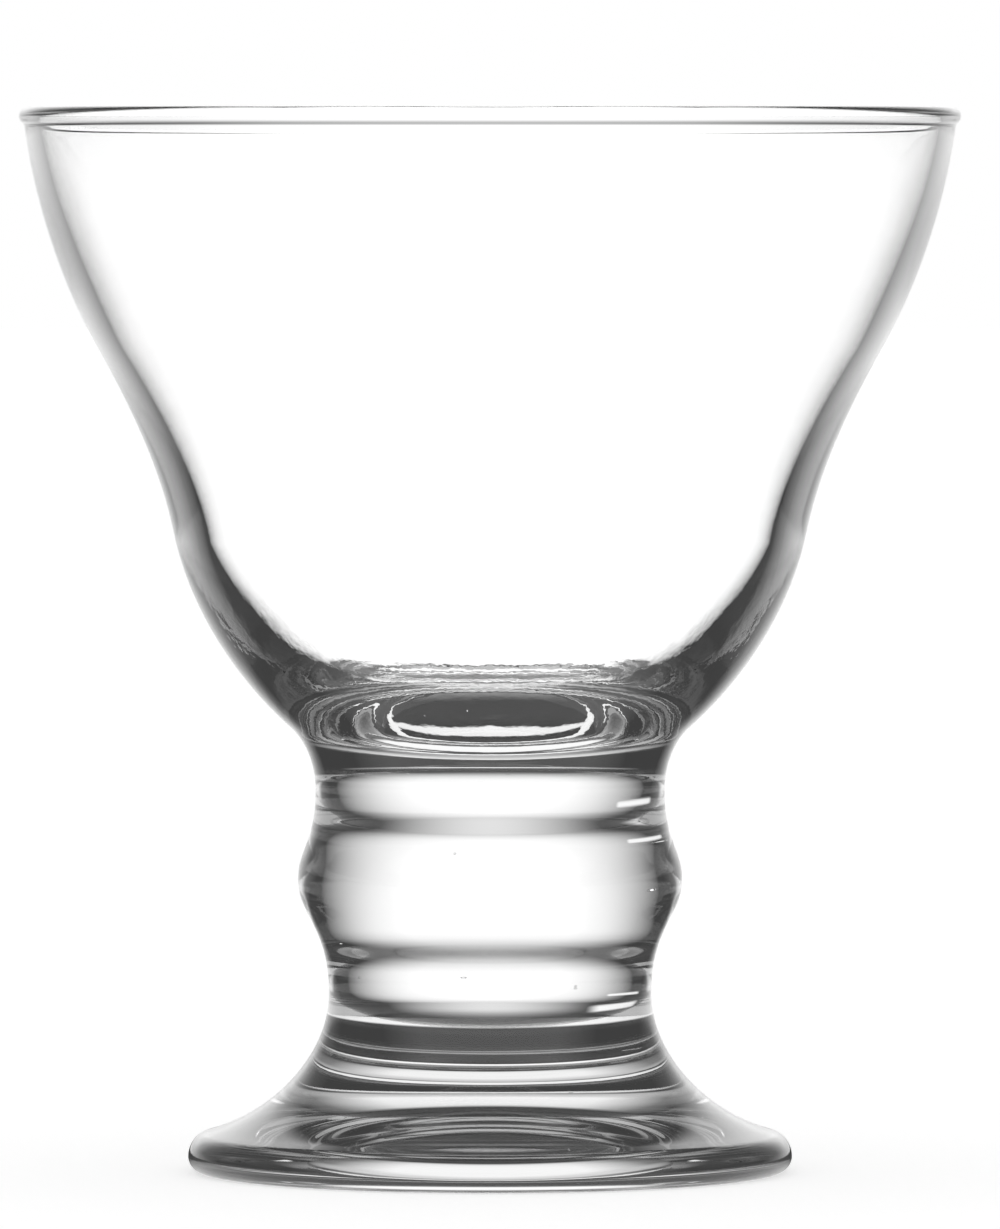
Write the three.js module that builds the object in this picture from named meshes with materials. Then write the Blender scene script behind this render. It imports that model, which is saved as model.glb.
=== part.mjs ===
// Footed dessert bowl in clear glass: a bowl, a solid stem and a foot, fused at two necks.
// Millimetres, +Z up, standing on z = 0, with the axis of the glass on Z.
import * as THREE from "three";

// Heights of the three pieces, stacked from the table up
const FOOT_HEIGHT = 18.9;
const STEM_HEIGHT = 21.5;
const BOWL_HEIGHT = 72.1;

// Diameters of the outside, from the table up
const FOOT_DIAMETER = 63.8;
const LOWER_NECK_DIAMETER = 34.1;
const BULGE_DIAMETER = 40.6;
const UPPER_NECK_DIAMETER = 36.9;
const SHOULDER_DIAMETER = 42.2;
const WAIST_DIAMETER = 66.8;
const FLARE_DIAMETER = 83.0;
const RIM_DIAMETER = 100;

// Foot: a rounded edge, a flat standing ring and a hollow underside
const EDGE_HEIGHT = 4.1;
const EDGE_TOP_ROUND = 1.6;
const EDGE_FOOT_ROUND = 1.7;
const FOOT_TOP_SLOPE = 15;
const FOOT_TOP_REACH = 7.5;
const FOOT_NECK_REACH = 6.5;
const STANDING_RING_WIDTH = 2.2;
const UNDERSIDE_RISE = 2.2;

// Stem: where the bulge sits, and how far each neck and the bulge run on before they turn
const BULGE_HEIGHT_SHARE = 0.563;
const NECK_REACH_SHARE = 0.585;
const BULGE_REACH_SHARE = 0.335;

// Bowl, outside: heights as shares of the bowl, slopes in degrees from level
const SHOULDER_HEIGHT_SHARE = 0.092;
const SHOULDER_SLOPE = 41.6;
const WAIST_HEIGHT_SHARE = 0.3765;
const WAIST_SLOPE = 78.3;
const FLARE_HEIGHT_SHARE = 0.65;
const FLARE_SLOPE = 60.8;
const LIP_SLOPE = 81.3;

// Bowl, rim bead: its height and how far it swells out of the wall
const BEAD_HEIGHT = 2.9;
const BEAD_SWELL = 0.5;

// Bowl, inside: level wall thicknesses, then the heel where the wall turns into the floor
const LIP_WALL = 1.8;
const FLARE_WALL = 2.6;
const WAIST_WALL = 3.4;
const WAIST_INNER_SLOPE = 75;
const FLOOR_THICKNESS = 6.4;
const HEEL_DIAMETER = 52.8;
const HEEL_HEIGHT = 13.15;
const HEEL_SLOPE = 55.7;
const WELL_DIAMETER = 41.7;
const WELL_HEIGHT = 7.05;
const WELL_SLOPE = 37.5;

// Facets round the axis and along each curve
const TURN_SEGMENTS = 60;
const CURVE_STEPS = 5;

// Glass, as the photograph shows it
const GLASS_COLOUR = 0xe6eaeb;
const GLASS_ROUGHNESS = 0.04;

// A point of an outline, and the direction in degrees in which the outline runs through it
function station(radius, height, direction) {
  return { point: new THREE.Vector2(radius, height), direction };
}

// A point reached from another one in a direction
function reachFrom(point, direction, length) {
  const turn = THREE.MathUtils.degToRad(direction);
  return new THREE.Vector2(point.x + length * Math.cos(turn), point.y + length * Math.sin(turn));
}

// One smooth curve from a station to the next, with the two handle lengths given
function curveBetween(path, from, to, leaving, arriving) {
  const first = reachFrom(from.point, from.direction, leaving);
  const second = reachFrom(to.point, to.direction + 180, arriving);
  path.bezierCurveTo(first.x, first.y, second.x, second.y, to.point.x, to.point.y);
}

// Smooth curves through a run of stations, with handles a third of each chord long
function curveThrough(path, stations) {
  for (let i = 1; i < stations.length; i += 1) {
    const third = stations[i - 1].point.distanceTo(stations[i].point) / 3;
    curveBetween(path, stations[i - 1], stations[i], third, third);
  }
}

// A solid turned round Z from an outline that starts and ends on the axis
function turned(name, path, height) {
  const geometry = new THREE.LatheGeometry(path.getPoints(CURVE_STEPS), TURN_SEGMENTS);
  geometry.rotateX(Math.PI / 2);
  const glass = new THREE.MeshStandardMaterial({
    color: GLASS_COLOUR,
    roughness: GLASS_ROUGHNESS,
    metalness: 0,
  });
  const mesh = new THREE.Mesh(geometry, glass);
  mesh.name = name;
  mesh.position.z = height;
  return mesh;
}

// Foot: hollow underside, standing ring, rounded edge, then the flare up to the lower neck
function footOutline() {
  const radius = FOOT_DIAMETER / 2;
  const ringOuter = radius - EDGE_FOOT_ROUND;
  const ringInner = ringOuter - STANDING_RING_WIDTH;
  const widest = EDGE_FOOT_ROUND;
  const neck = LOWER_NECK_DIAMETER / 2;
  const path = new THREE.Path();
  path.moveTo(0, UNDERSIDE_RISE);
  curveThrough(path, [station(0, UNDERSIDE_RISE, 0), station(ringInner, 0, 0)]);
  path.lineTo(ringOuter, 0);
  path.absellipse(ringOuter, widest, EDGE_FOOT_ROUND, EDGE_FOOT_ROUND, -Math.PI / 2, 0, false);
  const edgeTop = station(radius - EDGE_TOP_ROUND, EDGE_HEIGHT, 180 - FOOT_TOP_SLOPE);
  const edgeSide = station(radius, widest, 90);
  curveBetween(path, edgeSide, edgeTop, (EDGE_HEIGHT - widest) / 2, EDGE_TOP_ROUND / 2);
  curveBetween(path, edgeTop, station(neck, FOOT_HEIGHT, 90), FOOT_TOP_REACH, FOOT_NECK_REACH);
  path.lineTo(0, FOOT_HEIGHT);
  return path;
}

// Stem: lower neck, bulge and upper neck, solid between two flat fused faces
function stemOutline() {
  const bulgeHeight = BULGE_HEIGHT_SHARE * STEM_HEIGHT;
  const upperHeight = STEM_HEIGHT - bulgeHeight;
  const lower = station(LOWER_NECK_DIAMETER / 2, 0, 90);
  const bulge = station(BULGE_DIAMETER / 2, bulgeHeight, 90);
  const upper = station(UPPER_NECK_DIAMETER / 2, STEM_HEIGHT, 90);
  const path = new THREE.Path();
  path.moveTo(0, 0);
  path.lineTo(lower.point.x, 0);
  curveBetween(path, lower, bulge, NECK_REACH_SHARE * bulgeHeight, BULGE_REACH_SHARE * bulgeHeight);
  curveBetween(path, bulge, upper, BULGE_REACH_SHARE * upperHeight, NECK_REACH_SHARE * upperHeight);
  path.lineTo(0, STEM_HEIGHT);
  return path;
}

// Bowl: outside up to the lip, over the rim bead, and down the inside to the floor
function bowlOutline() {
  const neck = UPPER_NECK_DIAMETER / 2;
  const lipRadius = RIM_DIAMETER / 2 - BEAD_SWELL;
  const lipHeight = BOWL_HEIGHT - BEAD_HEIGHT;
  const flareRadius = FLARE_DIAMETER / 2;
  const flareHeight = FLARE_HEIGHT_SHARE * BOWL_HEIGHT;
  const waistRadius = WAIST_DIAMETER / 2;
  const waistHeight = WAIST_HEIGHT_SHARE * BOWL_HEIGHT;
  const path = new THREE.Path();
  path.moveTo(0, 0);
  path.lineTo(neck, 0);
  curveThrough(path, [
    station(neck, 0, 90),
    station(SHOULDER_DIAMETER / 2, SHOULDER_HEIGHT_SHARE * BOWL_HEIGHT, SHOULDER_SLOPE),
    station(waistRadius, waistHeight, WAIST_SLOPE),
    station(flareRadius, flareHeight, FLARE_SLOPE),
    station(lipRadius, lipHeight, LIP_SLOPE),
  ]);
  const lipOutside = station(lipRadius, lipHeight, LIP_SLOPE);
  const beadTop = station(lipRadius - LIP_WALL / 2, BOWL_HEIGHT, 180);
  const lipInside = station(lipRadius - LIP_WALL, lipHeight, LIP_SLOPE + 180);
  const beadRadius = (LIP_WALL + BEAD_SWELL) / 2;
  curveBetween(path, lipOutside, beadTop, BEAD_HEIGHT * 0.8, beadRadius);
  curveBetween(path, beadTop, lipInside, beadRadius, BEAD_HEIGHT * 0.8);
  curveThrough(path, [
    lipInside,
    station(flareRadius - FLARE_WALL, flareHeight, FLARE_SLOPE + 180),
    station(waistRadius - WAIST_WALL, waistHeight, WAIST_INNER_SLOPE + 180),
    station(HEEL_DIAMETER / 2, FLOOR_THICKNESS + HEEL_HEIGHT, HEEL_SLOPE + 180),
    station(WELL_DIAMETER / 2, FLOOR_THICKNESS + WELL_HEIGHT, WELL_SLOPE + 180),
    station(0, FLOOR_THICKNESS, 180),
  ]);
  return path;
}

const dessertBowl = new THREE.Group();
dessertBowl.add(turned("foot", footOutline(), 0));
dessertBowl.add(turned("stem", stemOutline(), FOOT_HEIGHT));
dessertBowl.add(turned("bowl", bowlOutline(), FOOT_HEIGHT + STEM_HEIGHT));

export default dessertBowl;
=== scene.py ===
# %% [markdown]
# # A footed dessert bowl in clear glass
# The real bowl is pressed from one batch of hot glass: a bowl, a solid stem with one bulge, and a
# flared foot, fused together at two necks. The frame holds these three solids at their real size.
# This lesson dresses them as glass, and lights them the way glass is photographed.

# %% Load the frame
import math

import bmesh
import bpy
from mathutils import Matrix, Vector
from mathutils.geometry import interpolate_bezier


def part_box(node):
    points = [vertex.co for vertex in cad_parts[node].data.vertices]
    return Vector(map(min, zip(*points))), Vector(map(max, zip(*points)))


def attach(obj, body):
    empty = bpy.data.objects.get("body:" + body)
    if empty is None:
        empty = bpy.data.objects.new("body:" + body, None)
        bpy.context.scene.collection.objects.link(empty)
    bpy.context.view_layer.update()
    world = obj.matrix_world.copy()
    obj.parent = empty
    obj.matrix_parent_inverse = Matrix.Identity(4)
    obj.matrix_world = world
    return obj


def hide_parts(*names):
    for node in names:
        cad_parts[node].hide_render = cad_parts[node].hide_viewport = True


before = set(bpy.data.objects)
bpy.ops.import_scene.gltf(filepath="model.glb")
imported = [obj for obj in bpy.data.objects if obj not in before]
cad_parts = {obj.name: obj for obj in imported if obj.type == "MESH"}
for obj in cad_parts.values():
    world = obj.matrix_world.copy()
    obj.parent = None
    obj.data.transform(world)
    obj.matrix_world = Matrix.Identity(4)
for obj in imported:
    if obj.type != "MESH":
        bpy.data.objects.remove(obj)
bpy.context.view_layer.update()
scene = bpy.context.scene
scene.view_settings.view_transform = "Standard"
print("frame nodes:", sorted(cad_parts))

# %% [markdown]
# ## Camera
# A long lens far away keeps the rim almost level, as a catalogue picture does. The camera stands a
# little above the rim, so that the rim shows as a thin line and not as an open oval.

# %% Set up the camera
CAMERA_PLACE = Vector((0.0, -1.480, 0.111))
CAMERA_AIM = Vector((0.00105, 0.0, 0.0589))
PIXELS_PER_RADIAN = 14030
PICTURE_HEIGHT = 1229

lens = bpy.data.cameras.new("camera")
lens.sensor_fit = "VERTICAL"
lens.sensor_height = 36.0
lens.lens = PIXELS_PER_RADIAN * lens.sensor_height / PICTURE_HEIGHT
camera = bpy.data.objects.new("camera", lens)
camera.location = CAMERA_PLACE
camera.rotation_euler = (CAMERA_AIM - CAMERA_PLACE).to_track_quat("-Z", "Y").to_euler()
scene.collection.objects.link(camera)
scene.camera = camera
print("camera lens, mm:", round(lens.lens))

# %% [markdown]
# ## Half outline of the glass
# A turned shape needs only half of its outline. Each stretch is one Bezier curve between two
# stations, so the surface stays smooth, which matters more in glass than anywhere else: a small kink
# would show as a dark line. The sizes are those of the frame's solids, in millimetres. A cylinder
# could be scaled ring by ring instead, but then every ring is a corner that has to be smoothed.

# %% Tools for drawing the outline
CURVE_POINTS = 22

outline = []


def reach(point, degrees, length):
    turn = math.radians(degrees)
    return Vector((point[0] + length * math.cos(turn), 0, point[2] + length * math.sin(turn)))


def station(radius, height, degrees):
    return Vector((radius, 0, height)), degrees


def curve(start, end, leaving, arriving, points=CURVE_POINTS):
    first = reach(start[0], start[1], leaving)
    second = reach(end[0], end[1] + 180, arriving)
    outline.extend(interpolate_bezier(start[0], first, second, end[0], points)[1:])


def curves(stations):
    for start, end in zip(stations, stations[1:]):
        third = (end[0] - start[0]).length / 3
        curve(start, end, third, third)


# %% [markdown]
# ## Foot
# The foot stands on a narrow flat ring and is hollow under the middle, so that it doesn't rock. Its
# edge is a soft round, and from there the top sweeps up into the lower neck. The outline starts in
# the middle of the hollow, and runs from here to the floor of the bowl without a break.

# %% Draw the foot
MM = 1000
LOWER_NECK = 34.1 / 2
HOLLOW = 2.2
RING_WIDTH = 2.2
EDGE_ROUND = 1.7
EDGE_IN = 1.6
EDGE_HEIGHT = 4.1
EDGE_POINTS = 12
QUARTER_ROUND = 0.5523

foot_high = Vector(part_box("foot")[1]) * MM
foot_radius = foot_high.x
lower_neck = station(LOWER_NECK, foot_high.z, 90)
ring_outer = station(foot_radius - EDGE_ROUND, 0, 0)
ring_inner = station(foot_radius - EDGE_ROUND - RING_WIDTH, 0, 0)
edge_side = station(foot_radius, EDGE_ROUND, 90)
edge_top = station(foot_radius - EDGE_IN, EDGE_HEIGHT, 165)
rounding = EDGE_ROUND * QUARTER_ROUND
outline.append(Vector((0, 0, HOLLOW)))
curves([station(0, HOLLOW, 0), ring_inner])
outline.append(ring_outer[0])
curve(ring_outer, edge_side, rounding, rounding, EDGE_POINTS)
curve(edge_side, edge_top, 1.2, 0.8, EDGE_POINTS)
curve(edge_top, lower_neck, 7.5, 6.5)
print("foot: radius", round(foot_radius, 2), "mm, points so far", len(outline))

# %% [markdown]
# ## Stem
# The stem is a solid plug of glass with one bulge between two necks. It works as a lens, and its
# outline decides which part of the bright background shows in it.

# %% Draw the stem
UPPER_NECK = 36.9 / 2
BULGE_SHARE = 0.563
NECK_REACH = 0.585
BULGE_REACH = 0.335

stem_low, stem_high = [Vector(corner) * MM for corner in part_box("stem")]
stem_tall = stem_high.z - stem_low.z
below_bulge = BULGE_SHARE * stem_tall
above_bulge = stem_tall - below_bulge
bulge = station(stem_high.x, stem_low.z + below_bulge, 90)
upper_neck = station(UPPER_NECK, stem_high.z, 90)
curve(lower_neck, bulge, NECK_REACH * below_bulge, BULGE_REACH * below_bulge)
curve(bulge, upper_neck, BULGE_REACH * above_bulge, NECK_REACH * above_bulge)
print("stem: bulge radius", round(stem_high.x, 2), "mm, points so far", len(outline))

# %% [markdown]
# ## Bowl, outside
# The outside turns out over the shoulder, rises through a waist and flares to the lip. The stations
# stand at shares of the bowl's height, as in the frame.

# %% Draw the outside of the bowl
SHOULDER = 42.2 / 2
WAIST = 66.8 / 2
FLARE = 83.0 / 2
BEAD_TALL = 2.1
CREASE = 0.56

bowl_low, bowl_high = [Vector(corner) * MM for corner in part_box("bowl")]
bowl_base = bowl_low.z
bowl_tall = bowl_high.z - bowl_base
waist_height = bowl_base + 0.3765 * bowl_tall
flare_height = bowl_base + 0.65 * bowl_tall
lip_outside = station(bowl_high.x - CREASE, bowl_high.z - BEAD_TALL, 82)
curves([
    upper_neck,
    station(SHOULDER, bowl_base + 0.092 * bowl_tall, 41.6),
    station(WAIST, waist_height, 78.3),
    station(FLARE, flare_height, 60.8),
    lip_outside,
])
print("bowl: rim radius", round(bowl_high.x, 2), "mm, points so far", len(outline))

# %% [markdown]
# ## Rim bead
# A flame rounds the cut rim of a pressed glass and leaves a fine bead, a little thicker than the
# wall. The frame keeps it as one soft swelling. Here it gets its own round and a faint crease under
# it, because this thin rod of glass draws the dark line along the rim.

# %% Draw the rim bead
BEAD_WIDE = 2.16
LIP_INSIDE = 2.30

bead_middle = bowl_high.z - BEAD_TALL / 2
bead_side = station(bowl_high.x, bead_middle, 90)
bead_top = station(bowl_high.x - BEAD_WIDE / 2, bowl_high.z, 180)
bead_inside = station(bowl_high.x - BEAD_WIDE, bead_middle, 270)
lip_inside = station(bowl_high.x - LIP_INSIDE, bowl_high.z - BEAD_TALL, 262)
curve(lip_outside, bead_side, 0.30, 0.60, 10)
curve(bead_side, bead_top, 0.58, 0.60, 14)
curve(bead_top, bead_inside, 0.60, 0.58, 14)
curve(bead_inside, lip_inside, 0.35, 0.35, 8)
print("bead: points so far", len(outline))

# %% [markdown]
# ## Bowl, inside
# The inside follows the outside with a wall that grows towards a thick floor. Where the wall turns
# into the floor, it decides how much of the bowl looks white and where the dark base begins.

# %% Draw the inside of the bowl
FLARE_WALL = 2.6
WAIST_WALL = 3.4
HEEL = 52.8 / 2
WELL = 41.7 / 2
FLOOR_THICKNESS = 6.4

floor_height = bowl_base + FLOOR_THICKNESS
curves([
    lip_inside,
    station(FLARE - FLARE_WALL, flare_height, 240.8),
    station(WAIST - WAIST_WALL, waist_height, 255),
    station(HEEL, floor_height + 13.15, 235.7),
    station(WELL, floor_height + 7.05, 217.5),
    station(0, floor_height, 180),
])
print("outline: points in all", len(outline))

# %% [markdown]
# ## Turning the outline
# The spin operator carries the outline round the axis. A Screw modifier could do the same, but here
# the mesh is finished at once. The three solids of the frame touch at flat faces inside the glass,
# which fused glass doesn't have, so the outline is turned as one closed skin that stands for all
# three. Doubled points on the axis are merged before the normals are set.

# %% Turn the glass
TURN_STEPS = 200

shape = bmesh.new()
points = [shape.verts.new(place / MM) for place in outline]
lines = [shape.edges.new(pair) for pair in zip(points, points[1:])]
bmesh.ops.spin(
    shape, geom=points + lines, cent=(0, 0, 0), axis=(0, 0, 1), dvec=(0, 0, 0),
    angle=math.tau, steps=TURN_STEPS, use_merge=True, use_duplicate=False,
)
bmesh.ops.remove_doubles(shape, verts=shape.verts, dist=1e-6)
bmesh.ops.recalc_face_normals(shape, faces=shape.faces)
print("turned glass: faces", len(shape.faces))

# %% [markdown]
# ## Seeds
# Glass makers call small trapped bubbles seeds. A few show in the thick base of the real bowl as dark
# dots. They could be painted, but a real ball bends light as a bubble does. Each is turned inside
# out, because its surface is where the glass ends and the air in the bubble begins. A row gives the
# turn in degrees, then the distance from the axis, the height and the radius in millimetres.

# %% Add the seeds
SEEDS = [
    (200, 12.0, 21.2, 0.16), (320, 9.5, 20.4, 0.13), (95, 13.0, 21.8, 0.14), (20, 6.0, 20.0, 0.12),
    (150, 10.5, 27.0, 0.13), (255, 12.5, 33.5, 0.12), (60, 14.0, 30.5, 0.11), (290, 4.0, 43.6, 0.12),
    (120, 9.0, 44.4, 0.11), (225, 20.0, 4.6, 0.14), (340, 22.5, 4.2, 0.12), (75, 17.5, 6.0, 0.13),
]

for turn, radius, height, size in SEEDS:
    angle = math.radians(turn)
    place = Vector((radius * math.cos(angle), radius * math.sin(angle), height)) / MM
    ball = bmesh.ops.create_icosphere(
        shape, subdivisions=2, radius=size / MM, matrix=Matrix.Translation(place),
    )
    bubble = {face for corner in ball["verts"] for face in corner.link_faces}
    bmesh.ops.reverse_faces(shape, faces=list(bubble))
print("seeds:", len(SEEDS))

# %% [markdown]
# ## One piece of glass
# The skin becomes an object that rides with the whole frame and stands for its three nodes. Smooth
# shading lets the light run over the facets as over real glass.

# %% Make the glass bowl
for face in shape.faces:
    face.smooth = True
skin = bpy.data.meshes.new("glass_bowl")
shape.to_mesh(skin)
shape.free()
glass_bowl = bpy.data.objects.new("glass_bowl", skin)
scene.collection.objects.link(glass_bowl)
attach(glass_bowl, "root")
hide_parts("bowl", "stem", "foot")
print("glass bowl: faces", len(skin.polygons))

# %% [markdown]
# ## Tools for node trees
# Materials are built from many small sums. These helpers add one node each and hand back its output,
# so that a sum reads from left to right.


# %% Helpers for sums
def number(tree, operation, *values):
    node = tree.nodes.new("ShaderNodeMath")
    node.operation = operation
    for socket, value in zip(node.inputs, values):
        if isinstance(value, (int, float)):
            socket.default_value = value
        else:
            tree.links.new(value, socket)
    return node.outputs[0]


def product(tree, *values):
    total = values[0]
    for value in values[1:]:
        total = number(tree, "MULTIPLY", total, value)
    return total


def brightest(tree, *values):
    total = values[0]
    for value in values[1:]:
        total = number(tree, "MAXIMUM", total, value)
    return total


def vector(tree, operation, *values):
    node = tree.nodes.new("ShaderNodeVectorMath")
    node.operation = operation
    for socket, value in zip(node.inputs, values):
        if isinstance(value, tuple):
            socket.default_value = value
        else:
            tree.links.new(value, socket)
    return node.outputs["Value"] if operation in {"DOT_PRODUCT", "LENGTH"} else node.outputs["Vector"]


def parts(tree, value):
    node = tree.nodes.new("ShaderNodeSeparateXYZ")
    tree.links.new(value, node.inputs[0])
    return node.outputs


# %% Helpers for soft steps
def ramped(tree, value, low, high, start=0.0, end=1.0, kind="LINEAR"):
    node = tree.nodes.new("ShaderNodeMapRange")
    node.interpolation_type = kind
    node.inputs["From Min"].default_value = low
    node.inputs["From Max"].default_value = high
    node.inputs["To Min"].default_value = start
    node.inputs["To Max"].default_value = end
    tree.links.new(value, node.inputs["Value"])
    return node.outputs["Result"]


def eased(tree, value, low, high):
    return ramped(tree, value, low, high, kind="SMOOTHSTEP")


def band(tree, value, low, high, soft):
    rising = eased(tree, value, low - soft, low + soft)
    falling = eased(tree, value, high + soft, high - soft)
    return product(tree, rising, falling)


# %% [markdown]
# ## Pressed skin
# Pressed glass isn't perfectly smooth. The cooler mould leaves a chill mottle, like fine orange peel,
# on the thick lower part, and the stem keeps faint rings from the turning of the mould. The standing
# ring wears matt on the table. All this is a few thousandths of a millimetre deep, so it is bump and
# not geometry. A node group measures it from the place on the glass, in metres: heights for the bump,
# and a mask for the wear.

# %% Make the pressed skin
MOTTLE_SCALE = 620
RING_SCALE = 900
WEAR_SCALE = 1500
RING_SHARE = 0.35
RING_FLATTEN = (0.03, 0.03, 1.0)

pressed = bpy.data.node_groups.new("pressed_skin", "ShaderNodeTree")
pressed.interface.new_socket("Place", in_out="INPUT", socket_type="NodeSocketVector")
pressed.interface.new_socket("Height", in_out="OUTPUT", socket_type="NodeSocketFloat")
pressed.interface.new_socket("Wear", in_out="OUTPUT", socket_type="NodeSocketFloat")
place = pressed.nodes.new("NodeGroupInput").outputs["Place"]
tall = parts(pressed, place)[2]
from_axis = vector(pressed, "LENGTH", vector(pressed, "MULTIPLY", place, (1, 1, 0)))


def noise(tree, value, scale, detail):
    node = tree.nodes.new("ShaderNodeTexNoise")
    node.inputs["Scale"].default_value = scale
    node.inputs["Detail"].default_value = detail
    tree.links.new(value, node.inputs["Vector"])
    return node.outputs["Fac"]


mottle = noise(pressed, place, MOTTLE_SCALE, 2.0)
mottle = product(pressed, mottle, band(pressed, tall, 0.046, 0.061, 0.006))
flattened = vector(pressed, "MULTIPLY", place, RING_FLATTEN)
rings = noise(pressed, flattened, RING_SCALE, 3.0)
rings = product(pressed, rings, band(pressed, tall, 0.006, 0.044, 0.004), RING_SHARE)
on_table = eased(pressed, tall, 0.0007, 0.0001)
on_ring = band(pressed, from_axis, 0.0275, 0.0305, 0.0012)
patchy = ramped(pressed, noise(pressed, place, WEAR_SCALE, 4.0), 0.35, 0.65)
wear = product(pressed, on_table, on_ring, patchy)
skin_out = pressed.nodes.new("NodeGroupOutput")
pressed.links.new(number(pressed, "ADD", mottle, rings), skin_out.inputs["Height"])
pressed.links.new(wear, skin_out.inputs["Wear"])
print("pressed skin: nodes", len(pressed.nodes))

# %% [markdown]
# ## Clear glass
# Soda glass bends light by 1.52 and has almost no colour of its own. The colour, the bending and the
# clearness are the same all over, so they are set on the shader. The skin only tilts the surface, and
# the wear makes the standing ring matt. A Glass shader would look the same, but the Principled shader
# is the one that other programs can read.

# %% Make the clear glass
GLASS_COLOUR = (0.995, 0.995, 0.995, 1.0)
GLASS_BENDING = 1.52
SKIN_DEPTH = 0.000012
MATT_RING = 0.35

clear_glass = bpy.data.materials.new("clear_glass")
clear_glass.use_nodes = True
tree = clear_glass.node_tree
glass = tree.nodes["Principled BSDF"]
glass.inputs["Base Color"].default_value = GLASS_COLOUR
glass.inputs["IOR"].default_value = GLASS_BENDING
glass.inputs["Transmission Weight"].default_value = 1.0
surface = tree.nodes.new("ShaderNodeGroup")
surface.node_tree = pressed
tree.links.new(tree.nodes.new("ShaderNodeTexCoord").outputs["Object"], surface.inputs["Place"])
bump = tree.nodes.new("ShaderNodeBump")
bump.inputs["Strength"].default_value = 1.0
bump.inputs["Distance"].default_value = SKIN_DEPTH
tree.links.new(surface.outputs["Height"], bump.inputs["Height"])
tree.links.new(bump.outputs["Normal"], glass.inputs["Normal"])
tree.links.new(product(tree, surface.outputs["Wear"], MATT_RING), glass.inputs["Roughness"])
skin.materials.append(clear_glass)
print("clear glass: skin depth, mm", SKIN_DEPTH * 1000)

# %% [markdown]
# ## Bright-field light
# Clear glass shows only what stands behind and around it. It is photographed against a bright
# background with dark surroundings: the middle of each piece carries the bright background, and its
# edges bend the view round to the dark, which draws the outline. A lamp on clear glass would only
# leave a spot, so the surroundings are painted instead, once, as a node group that gives a level for
# a direction. The world and the floor both use it.
#
# Light may turn many times inside thick glass before it leaves. Blender ends a path after a few
# turns and shows black there, so the path is given more of them.

# %% Let light turn often inside the glass
scene.cycles.max_bounces = 32
scene.cycles.glossy_bounces = 24
scene.cycles.transmission_bounces = 16
print("turns allowed inside the glass:", scene.cycles.glossy_bounces)

# %% [markdown]
# ## What a ray has been through
# A ray that crossed both walls of the bowl without a reflection shows the plain white background, as
# thin glass does. A ray that was reflected inside the glass sees the surroundings darker, as painted
# shade: every turn dims it more, from 0.38 at the first turn to 0.9 from LAST_TURN on. The Light Path
# node counts these events.

# %% Read the history of a ray
FIRST_TURN_SHADE = 0.38
LAST_TURN_SHADE = 0.9
LAST_TURN = 6.0


def history(tree):
    path = tree.nodes.new("ShaderNodeLightPath")
    through = path.outputs["Transmission Depth"]
    mirrored = path.outputs["Glossy Depth"]
    bent = brightest(tree, path.outputs["Is Glossy Ray"], path.outputs["Is Transmission Ray"])
    unmirrored = number(tree, "LESS_THAN", mirrored, 0.5)
    inside = number(tree, "GREATER_THAN", product(tree, through, mirrored), 0.5)
    # painted shade: rays reflected inside the glass see darker surroundings, more with each turn
    painted_turn_shade = product(tree, inside, ramped(tree, mirrored, 1.0, LAST_TURN, FIRST_TURN_SHADE, LAST_TURN_SHADE))
    not_matt = number(tree, "LESS_THAN", path.outputs["Diffuse Depth"], 0.5)
    return {
        "seen in glass": product(tree, bent, not_matt),
        "seen directly": path.outputs["Is Camera Ray"],
        "Four Faces": number(tree, "GREATER_THAN", through, 3.5),
        "Unmirrored": unmirrored,
        "Mirrored": inside,
        "Painted Dim Factor": number(tree, "SUBTRACT", 1.0, painted_turn_shade),
    }


# %% [markdown]
# ## Painting the surroundings
# The group splits a direction into a bearing, counted from straight behind the glass, and a height. A
# soft round glow stands behind the glass, and a strip of bright floor leads up to it. The room is
# bright again behind the camera. Everything else stays dark. A picture of a real studio could be
# wrapped round the scene instead, but a painted one can be changed with one number.

# %% Split the direction
DARK = 0.05
BRIGHT = 1.06

surround = bpy.data.node_groups.new("surroundings", "ShaderNodeTree")
surround.interface.new_socket("Direction", in_out="INPUT", socket_type="NodeSocketVector")
for mask in ("Four Faces", "Unmirrored", "Painted Dim Factor"):
    surround.interface.new_socket(mask, in_out="INPUT", socket_type="NodeSocketFloat")
surround.interface.new_socket("Level", in_out="OUTPUT", socket_type="NodeSocketFloat")
entry = surround.nodes.new("NodeGroupInput").outputs
side, ahead, up = parts(surround, entry["Direction"])
bearing = number(surround, "ARCTAN2", number(surround, "ABSOLUTE", side), ahead)


def sine(degrees):
    return math.sin(math.radians(degrees))


def bearing_step(start, end):
    return eased(surround, bearing, math.radians(start), math.radians(end))


def height_step(start, end):
    return eased(surround, up, sine(start), sine(end))


def patch(middle, half, low, high, soft=4):
    off = number(surround, "ABSOLUTE", number(surround, "SUBTRACT", bearing, math.radians(middle)))
    across = eased(surround, off, math.radians(half + soft), math.radians(half - soft))
    rising = height_step(low - soft, low + soft)
    falling = height_step(high + soft, high - soft)
    return product(surround, across, rising, falling)


# %% [markdown]
# ## Glow behind the glass
# The glow fades from its middle to its edge, and this fading shows as the soft grey borders of the
# bright windows in the stem. A ramp holds the levels for a few angles from its middle. It ends above
# the floor and below the ceiling. For light that was reflected upwards by the foot, the narrow middle
# is painted brighter and the sides darker. This painted highlight is the light band on top of the foot.

# %% Paint the glow behind the glass
GLOW_EDGE = [
    (52, DARK), (50, 0.14), (45, 0.30), (39, 0.5), (34, 0.66), (28, 0.83), (19, 1.0), (0, 1.0),
]
GLOW_RISE = 5
MIDDLE_LIFT = 0.45
BESIDE_LIFT = -0.5

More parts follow.
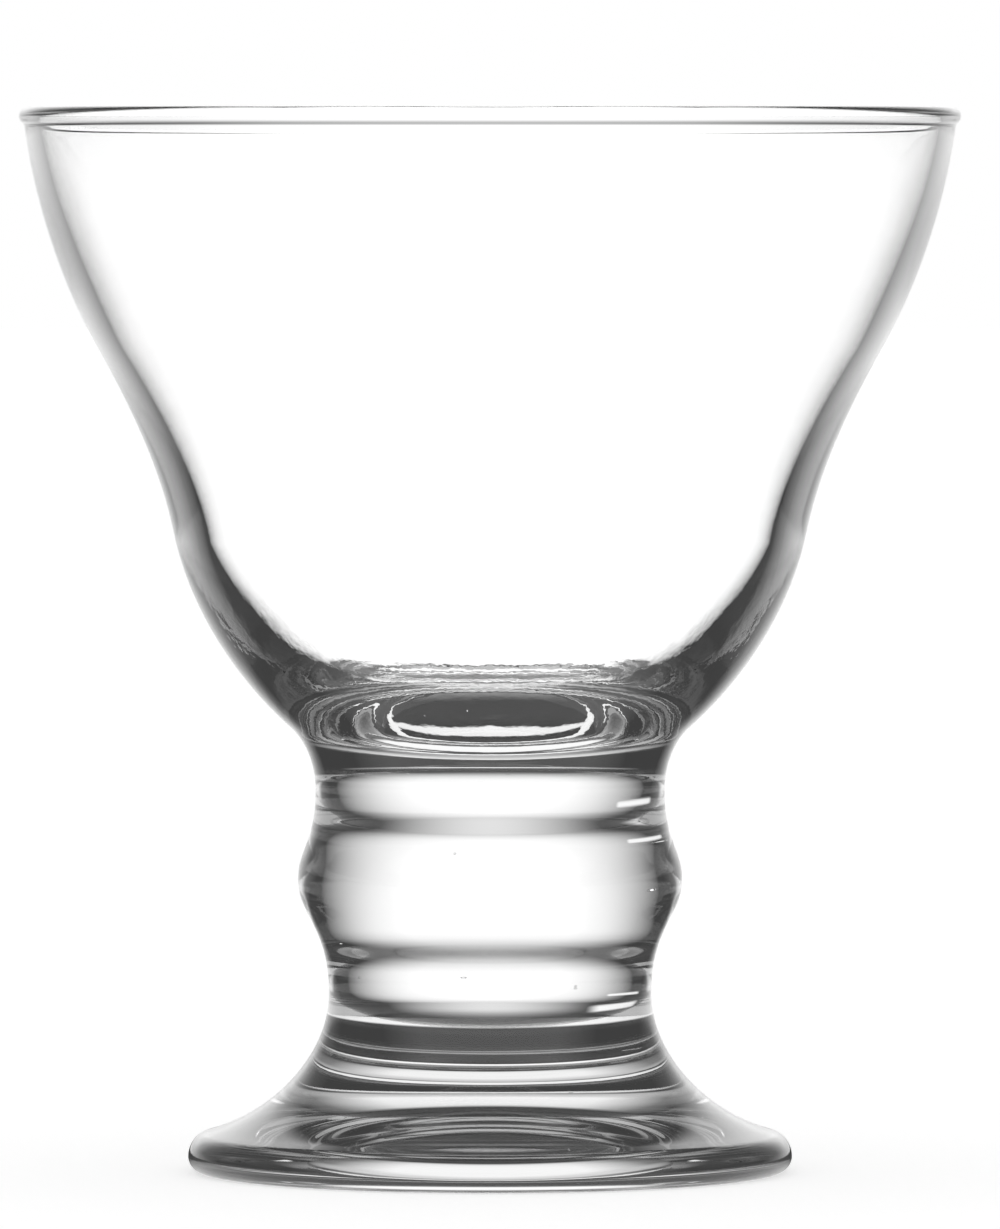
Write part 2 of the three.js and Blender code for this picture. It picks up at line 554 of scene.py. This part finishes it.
ramp_node = surround.nodes.new("ShaderNodeValToRGB")
ramp = ramp_node.color_ramp
ramp.elements.remove(ramp.elements[1])
for turn, level in GLOW_EDGE:
    stop = ramp.elements.new(sine(90 - turn))
    stop.color = (level, level, level, 1.0)
ramp.elements[0].color = (DARK, DARK, DARK, 1.0)
glow_middle = (0.0, sine(90 - GLOW_RISE), sine(GLOW_RISE))
towards = vector(surround, "DOT_PRODUCT", entry["Direction"], glow_middle)
surround.links.new(towards, ramp_node.inputs[0])
mirrored = number(surround, "SUBTRACT", 1.0, entry["Unmirrored"])
above_floor = height_step(-34, -14)
below_ceiling = product(surround, mirrored, height_step(37, 29))
below_ceiling = brightest(surround, below_ceiling, height_step(36, 8))
# painted highlight: reflected rays going up see the middle of the glow brighter and its sides darker
upward = product(surround, mirrored, height_step(1, 9))
middle = ramped(surround, bearing, math.radians(16), math.radians(34), MIDDLE_LIFT, BESIDE_LIFT)
lift = number(surround, "MULTIPLY_ADD", upward, middle, 1.0)
glow = product(surround, ramp_node.outputs[0], above_floor, below_ceiling, lift)
print("glow: half width, degrees", GLOW_EDGE[0][0])

# %% [markdown]
# ## Bright floor and the room behind the camera
# The strip of floor behind the glass is a little darker than the glow, and fades out towards the
# glass. The room behind the camera brightens gradually, and shows in the base and along the edges,
# where glass turns the view back.

# %% Paint the bright floor and the room behind the camera
STRIP_LEVEL = 0.72

strip = product(surround, patch(0, 17, -50, -8, 17), STRIP_LEVEL)
front = ramped(surround, bearing, math.radians(95), math.radians(128))
front = product(surround, front, height_step(-60, -45), height_step(62, 48))
print("strip level", STRIP_LEVEL)

# %% [markdown]
# ## Gaps for other sides
# From another side, the background of the glass is another part of the room. Gaps of plain white
# stand where someone looks from the side, from behind, and from above at a corner, so that the stem
# has a bright middle from there too. Only rays that were never reflected see them.

# %% Open the gaps
to_left = number(surround, "LESS_THAN", side, 0.0)
corner_gap = brightest(surround, patch(45, 16, -54, -37), patch(47, 12, -15, -9, 2))
corner_gap = product(surround, corner_gap, to_left)
gaps = brightest(surround, patch(90, 16, -14, 14, 6), patch(135, 28, -40, 2), corner_gap)
gaps = product(surround, gaps, entry["Unmirrored"])
print("gaps: to the left, the side and the front")

# %% [markdown]
# ## Adding up
# The brightest of all these counts, dimmed by the painted shade for each turn inside the glass. Rays
# through both walls of the bowl see plain white instead, because such thin glass hardly shows. Near the
# edges of the bowl these walls are met at a slant and pass less light, so the white is painted brighter
# there.

# %% Add up the surroundings
WALL_BRIGHT = 1.28
WALL_LIFT = 0.42
ONE_TURN = 0.57

level = brightest(surround, glow, strip, front, gaps)
# painted shade: the level is dimmed for each turn inside the glass
level = product(surround, level, entry["Painted Dim Factor"], BRIGHT)
few_turns = number(surround, "GREATER_THAN", entry["Painted Dim Factor"], ONE_TURN)
facing_camera = product(surround, few_turns, bearing_step(95, 115), height_step(55, 45))
plain = product(surround, entry["Unmirrored"], height_step(-73, -65))
plain = brightest(surround, plain, facing_camera)
# painted highlight: the white seen through both walls is painted brighter near the edges of the bowl
beside = product(surround, bearing_step(3, 11), bearing_step(40, 25))
wall_level = number(surround, "MULTIPLY_ADD", beside, WALL_LIFT, WALL_BRIGHT)
white = product(surround, entry["Four Faces"], plain, wall_level)
level = brightest(surround, level, white, DARK)
surround.links.new(level, surround.nodes.new("NodeGroupOutput").inputs["Level"])
print("surroundings: nodes", len(surround.nodes))


# %% Place the surroundings in a material
def surroundings(tree, direction, past):
    node = tree.nodes.new("ShaderNodeGroup")
    node.node_tree = surround
    tree.links.new(direction, node.inputs["Direction"])
    for mask in ("Four Faces", "Unmirrored", "Painted Dim Factor"):
        tree.links.new(past[mask], node.inputs[mask])
    return node.outputs["Level"]


# %% [markdown]
# ## World
# The world is a plain white room. The camera sees it white, matt things get its soft light, and glass
# sees the painted surroundings. With lamps alone, the background would have to be lit to an even white.

# %% Light the world
ROOM_LEVEL = 0.7

world = bpy.data.worlds.new("studio")
scene.world = world
world.use_nodes = True
tree = world.node_tree
direction = tree.nodes.new("ShaderNodeTexCoord").outputs["Generated"]
past = history(tree)
beyond = number(tree, "SUBTRACT", surroundings(tree, direction, past), ROOM_LEVEL)
level = number(tree, "MULTIPLY_ADD", past["seen in glass"], beyond, ROOM_LEVEL)
level = number(tree, "MAXIMUM", level, past["seen directly"])
tree.links.new(level, tree.nodes["Background"].inputs["Color"])
print("world: room level", ROOM_LEVEL)

# %% [markdown]
# ## Floor
# The floor is a plain white sheet. It keeps the soft shadow of the glass, and the camera sees it white.
# It is wide enough to reach the horizon, where it meets the white of the world.

# %% Lay the floor
FLOOR_RADIUS = 6.0

floor_shape = bmesh.new()
bmesh.ops.create_circle(floor_shape, cap_ends=True, segments=96, radius=FLOOR_RADIUS)
floor_mesh = bpy.data.meshes.new("floor")
floor_shape.to_mesh(floor_mesh)
floor_shape.free()
floor = bpy.data.objects.new("floor", floor_mesh)
scene.collection.objects.link(floor)
print("floor: faces", len(floor_mesh.polygons))

# %% [markdown]
# ## What the glass sees of the floor
# The glass sees the painted level for the direction from its middle to a spot of the floor. Two spots
# are painted by place, because the base of the glass gathers light there: a bar under the back of the
# foot, and the start of the bright strip behind it.

# %% Paint the floor for the glass
GLASS_MIDDLE = (0.0, 0.02, 0.045)
BAR_LEAN = 0.35

white_sheet = bpy.data.materials.new("white_sheet")
white_sheet.use_nodes = True
tree = white_sheet.node_tree
tree.nodes.clear()
past = history(tree)
spot = tree.nodes.new("ShaderNodeTexCoord").outputs["Object"]
direction = vector(tree, "NORMALIZE", vector(tree, "SUBTRACT", spot, GLASS_MIDDLE))
across, behind, _ = parts(tree, spot)
across = number(tree, "ABSOLUTE", across)
near_edge = eased(tree, number(tree, "MULTIPLY_ADD", across, -BAR_LEAN, behind), 0.005, 0.007)
far_edge = eased(tree, behind, 0.017, 0.015)
bar = product(tree, near_edge, far_edge, eased(tree, across, 0.026, 0.022))
start = product(tree, band(tree, behind, 0.037, 0.062, 0.003), eased(tree, across, 0.022, 0.006))
start = product(tree, start, past["Mirrored"])
painted = brightest(tree, surroundings(tree, direction, past), bar, start)
print("floor for the glass: nodes", len(tree.nodes))

# %% [markdown]
# ## White sheet
# For the camera and the soft light, the sheet is matt and light grey, with a lift that brings it to
# white where nothing shades it. For the glass, it shines with the painted level. The Mix Shader
# chooses between the two.

# %% Make the white sheet
FLOOR_COLOUR = 0.8
FLOOR_LIFT = 0.48

matt = tree.nodes.new("ShaderNodeBsdfDiffuse")
matt.inputs["Color"].default_value = (FLOOR_COLOUR, FLOOR_COLOUR, FLOOR_COLOUR, 1.0)
lift = tree.nodes.new("ShaderNodeEmission")
tree.links.new(product(tree, past["seen directly"], FLOOR_LIFT), lift.inputs["Color"])
both = tree.nodes.new("ShaderNodeAddShader")
tree.links.new(matt.outputs[0], both.inputs[0])
tree.links.new(lift.outputs[0], both.inputs[1])
shine = tree.nodes.new("ShaderNodeEmission")
tree.links.new(painted, shine.inputs["Color"])
choose = tree.nodes.new("ShaderNodeMixShader")
tree.links.new(past["seen in glass"], choose.inputs[0])
tree.links.new(both.outputs[0], choose.inputs[1])
tree.links.new(shine.outputs[0], choose.inputs[2])
tree.links.new(choose.outputs[0], tree.nodes.new("ShaderNodeOutputMaterial").inputs[0])
floor_mesh.materials.append(white_sheet)
print("white sheet: nodes", len(tree.nodes))
